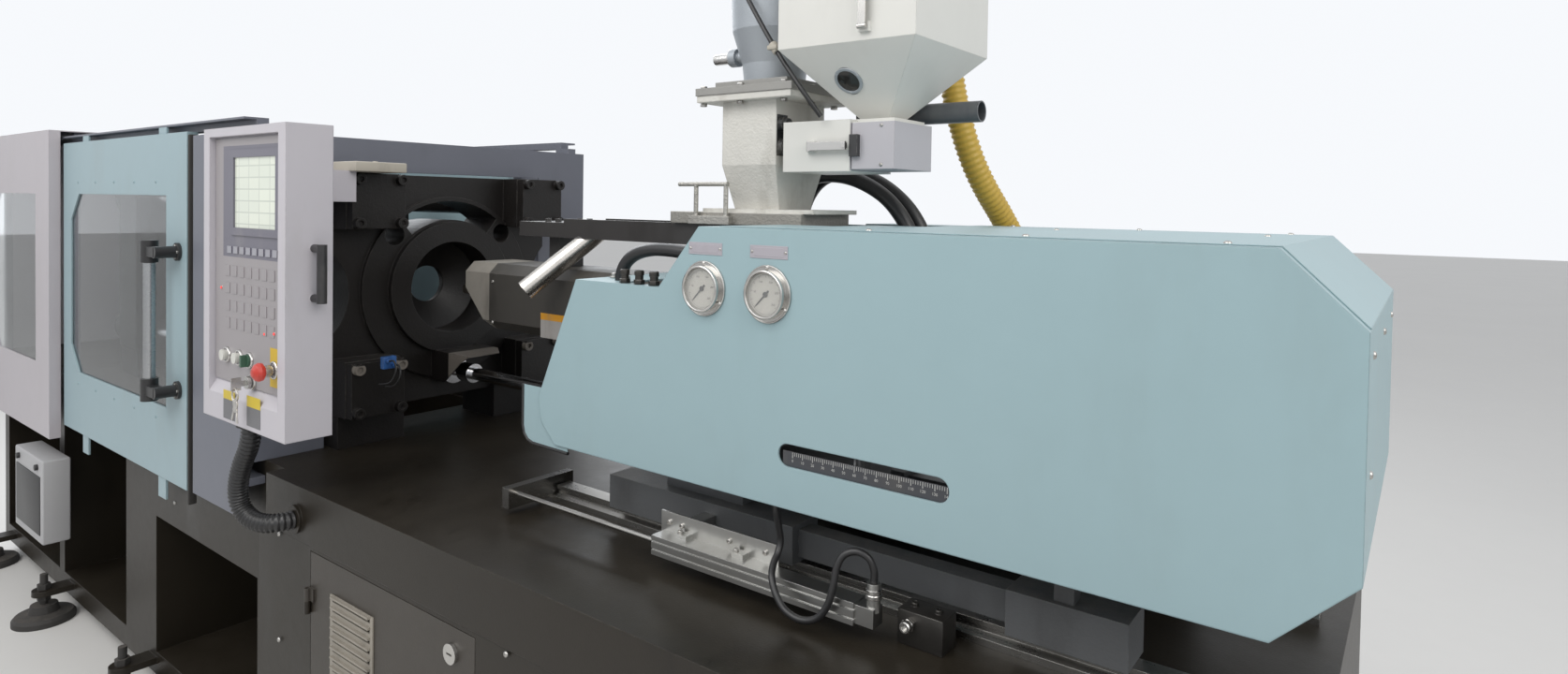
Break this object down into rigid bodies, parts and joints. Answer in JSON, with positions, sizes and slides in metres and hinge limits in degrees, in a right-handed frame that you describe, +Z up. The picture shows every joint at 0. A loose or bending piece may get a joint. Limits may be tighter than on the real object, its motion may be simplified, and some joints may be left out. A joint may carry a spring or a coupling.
{
  "type": "injection moulding machine",
  "caption": "Horizontal toggle-clamp injection moulding machine with sliding doors, operator panel, injection carriage and dosing hopper.",
  "frame": {"origin": "on the floor, at the middle of the machine's length and width", "axes": "+X along the machine from the clamp end to the injection end, +Y away from the operator, +Z up"},
  "size_m": [4.932, 1.6927, 2.122],
  "materials": {
    "black_frame": "semi-gloss black paint with a brown cast, worn and oily",
    "pad_rubber": "matt",
    "lock_metal": "satin",
    "tank_blue": "satin",
    "rack_grey": "matt",
    "platen_black": "oily black paint on cast iron",
    "tie_chrome": "hard chrome, oiled",
    "steel_dark": "machined, oiled",
    "link_steel": "ground, greasy",
    "guard_grey": "light warm grey, satin",
    "guard_glazing": "polycarbonate with a pale blue cast",
    "panel_blue_grey": "satin",
    "cover_blue": "light blue, satin",
    "handle_black": "fine texture",
    "hmi_grey": "light grey with a lilac cast, satin",
    "hmi_plate": "fine texture",
    "screen": "lit display",
    "estop_red": "gloss",
    "key_metal": "satin",
    "selector_green": "gloss",
    "button_white": "gloss",
    "hose_black": "matt, ribbed",
    "rail_steel": "ground, oiled",
    "seat_grey": "dark grey paint, oily",
    "barrel_steel": "heat-stained",
    "shroud_black": "semi-matt",
    "gauge_steel": "polished bezel and white dial",
    "needle_black": "matt",
    "sensor_alu": "anodised",
    "slide_steel": "dark, oiled",
    "screw_steel": "nitrided",
    "throat_white": "textured white on a casting",
    "adaptor_grey": "blasted grey casting",
    "doser_white": "white, satin",
    "latch_steel": "satin",
    "hose_yellow": "ribbed"
  },
  "bodies": {
    "machine": {"bed_frame": "black_frame", "levelling_pads": "pad_rubber", "power_pack": "tank_blue", "control_rack": "rack_grey", "stationary_platen": "platen_black", "tie_bars": "tie_chrome", "tail_platen": "platen_black", "clamp_cylinder": "steel_dark", "front_guard": "guard_grey", "guard_window": "guard_glazing", "end_panel": "panel_blue_grey", "rear_guard": "guard_grey", "hmi_housing": "hmi_grey", "hmi_panel": "hmi_plate", "hmi_screen": "screen", "hmi_hose": "hose_black", "guide_rails": "rail_steel", "carriage_rod": "tie_chrome"},
    "cabinet_door": {"cabinet_door": "black_frame"},
    "cabinet_lock": {"cabinet_lock": "lock_metal"},
    "moving_platen": {"moving_platen": "platen_black"},
    "ejector": {"ejector_plate": "link_steel"},
    "crosshead": {"crosshead": "steel_dark"},
    "rear_links_upper": {"rear_links_upper": "link_steel"},
    "rear_links_lower": {"rear_links_lower": "link_steel"},
    "front_links_upper": {"front_links_upper": "link_steel"},
    "front_links_lower": {"front_links_lower": "link_steel"},
    "drive_links_upper": {"drive_links_upper": "link_steel"},
    "drive_links_lower": {"drive_links_lower": "link_steel"},
    "front_door": {"front_door": "cover_blue", "front_door_window": "guard_glazing", "door_handle": "handle_black"},
    "rear_door": {"rear_door": "cover_blue"},
    "estop": {"estop_button": "estop_red"},
    "key": {"key_switch": "key_metal"},
    "selector": {"selector_knob": "selector_green"},
    "start_button": {"start_button": "button_white"},
    "stop_button": {"stop_button": "button_white"},
    "carriage": {"injection_seat": "seat_grey", "barrel": "barrel_steel", "barrel_cover": "shroud_black", "injection_cylinders": "steel_dark", "injection_cover": "cover_blue", "gauges": "gauge_steel", "transducer": "sensor_alu", "transducer_cable": "hose_black", "slide_plate": "slide_steel", "hydraulic_hoses": "hose_black"},
    "needle_a": {"needle_a": "needle_black"},
    "needle_b": {"needle_b": "needle_black"},
    "plunger": {"thrust_plate": "steel_dark"},
    "screw": {"screw": "screw_steel"},
    "feeder": {"throat": "throat_white", "feed_adaptor": "adaptor_grey", "doser_body": "doser_white", "doser_hopper": "doser_white", "feed_hose": "hose_yellow"},
    "doser_latch": {"doser_latch": "latch_steel"},
    "hopper_latch": {"hopper_latch": "latch_steel"},
    "hopper_lid": {"hopper_lid": "doser_white"}
  },
  "joints": [
    {"name": "clamp_slide", "type": "slide", "parent": "machine", "child": "moving_platen", "axis": [1, 0, 0], "range_m": [0, 0.3767]},
    {"name": "ejector_slide", "type": "slide", "parent": "moving_platen", "child": "ejector", "axis": [1, 0, 0], "range_m": [0, 0.09]},
    {"name": "crosshead_slide", "type": "slide", "parent": "machine", "child": "crosshead", "axis": [1, 0, 0], "range_m": [0, 0.21477]},
    {"name": "rear_upper_pivot", "type": "hinge", "parent": "machine", "child": "rear_links_upper", "pos_m": [-1.18544, 0.019, 1.593], "axis": [0, 1, 0], "range_deg": [-97.1, 0]},
    {"name": "rear_lower_pivot", "type": "hinge", "parent": "machine", "child": "rear_links_lower", "pos_m": [-1.18544, 0.019, 1.023], "axis": [0, 1, 0], "range_deg": [0, 97.1]},
    {"name": "front_upper_pivot", "type": "hinge", "parent": "moving_platen", "child": "front_links_upper", "pos_m": [-0.9827, 0.019, 1.593], "axis": [0, 1, 0], "range_deg": [0, 42.02]},
    {"name": "front_lower_pivot", "type": "hinge", "parent": "moving_platen", "child": "front_links_lower", "pos_m": [-0.9827, 0.019, 1.023], "axis": [0, 1, 0], "range_deg": [-42.02, 0]},
    {"name": "drive_upper_pivot", "type": "hinge", "parent": "crosshead", "child": "drive_links_upper", "pos_m": [-1.15893, 0.019, 1.373], "axis": [0, 1, 0], "range_deg": [0, 35.38]},
    {"name": "drive_lower_pivot", "type": "hinge", "parent": "crosshead", "child": "drive_links_lower", "pos_m": [-1.15893, 0.019, 1.243], "axis": [0, 1, 0], "range_deg": [-35.38, 0]},
    {"name": "front_door_slide", "type": "slide", "parent": "machine", "child": "front_door", "axis": [-1, 0, 0], "range_m": [0, 0.9]},
    {"name": "rear_door_slide", "type": "slide", "parent": "machine", "child": "rear_door", "axis": [-1, 0, 0], "range_m": [0, 0.9]},
    {"name": "cabinet_door_hinge", "type": "hinge", "parent": "machine", "child": "cabinet_door", "pos_m": [0.44, -0.5273, 0.437], "axis": [0, 0, -1], "range_deg": [0, 110]},
    {"name": "cabinet_lock_turn", "type": "hinge", "parent": "cabinet_door", "child": "cabinet_lock", "pos_m": [1.019, -0.52, 0.692], "axis": [0, 1, 0], "range_deg": [0, 90]},
    {"name": "estop_press", "type": "slide", "parent": "machine", "child": "estop", "axis": [0, 1, 0], "range_m": [0, 0.006]},
    {"name": "key_turn", "type": "hinge", "parent": "machine", "child": "key", "pos_m": [0.439, -0.645, 1.16], "axis": [0, 1, 0], "range_deg": [0, 90]},
    {"name": "selector_turn", "type": "hinge", "parent": "machine", "child": "selector", "pos_m": [0.424, -0.645, 1.206], "axis": [0, 1, 0], "range_deg": [-45, 45]},
    {"name": "start_press", "type": "slide", "parent": "machine", "child": "start_button", "axis": [0, 1, 0], "range_m": [0, 0.004], "stiffness_N_per_m": 600},
    {"name": "stop_press", "type": "slide", "parent": "machine", "child": "stop_button", "axis": [0, 1, 0], "range_m": [0, 0.004], "stiffness_N_per_m": 600},
    {"name": "carriage_slide", "type": "slide", "parent": "machine", "child": "carriage", "axis": [-1, 0, 0], "range_m": [0, 0.2]},
    {"name": "injection_slide", "type": "slide", "parent": "carriage", "child": "plunger", "axis": [1, 0, 0], "range_m": [0, 0.16]},
    {"name": "screw_turn", "type": "hinge", "parent": "plunger", "child": "screw", "pos_m": [1.734, 0.019, 1.308], "axis": [1, 0, 0], "continuous": true},
    {"name": "gauge_a_needle", "type": "hinge", "parent": "carriage", "child": "needle_a", "pos_m": [1.483, -0.33, 1.419], "axis": [0, 1, 0], "range_deg": [0, 270]},
    {"name": "gauge_b_needle", "type": "hinge", "parent": "carriage", "child": "needle_b", "pos_m": [1.626, -0.33, 1.419], "axis": [0, 1, 0], "range_deg": [0, 270]},
    {"name": "feeder_slide", "type": "slide", "parent": "carriage", "child": "feeder", "axis": [-1, 0, 0], "range_m": [0, 0.45]},
    {"name": "doser_latch_hinge", "type": "hinge", "parent": "feeder", "child": "doser_latch", "pos_m": [1.534, -0.082, 1.685], "axis": [0, 0, -1], "range_deg": [0, 120]},
    {"name": "hopper_latch_hinge", "type": "hinge", "parent": "feeder", "child": "hopper_latch", "pos_m": [1.69, -0.144, 1.893], "axis": [1, 0, 0], "range_deg": [0, 120]},
    {"name": "hopper_lid_hinge", "type": "hinge", "parent": "feeder", "child": "hopper_lid", "pos_m": [1.642, 0.177, 2.116], "axis": [-1, 0, 0], "range_deg": [0, 110]}
  ],
  "couplings": [
    {"joint": "crosshead_slide", "follows": "clamp_slide", "ratio": 0.56988},
    {"joint": "rear_upper_pivot", "follows": "clamp_slide", "rad_per_m": -4.4942},
    {"joint": "rear_lower_pivot", "follows": "clamp_slide", "rad_per_m": 4.4942},
    {"joint": "front_upper_pivot", "follows": "clamp_slide", "rad_per_m": 1.9423},
    {"joint": "front_lower_pivot", "follows": "clamp_slide", "rad_per_m": -1.9423},
    {"joint": "drive_upper_pivot", "follows": "clamp_slide", "rad_per_m": 1.6347},
    {"joint": "drive_lower_pivot", "follows": "clamp_slide", "rad_per_m": -1.6347}
  ]
}
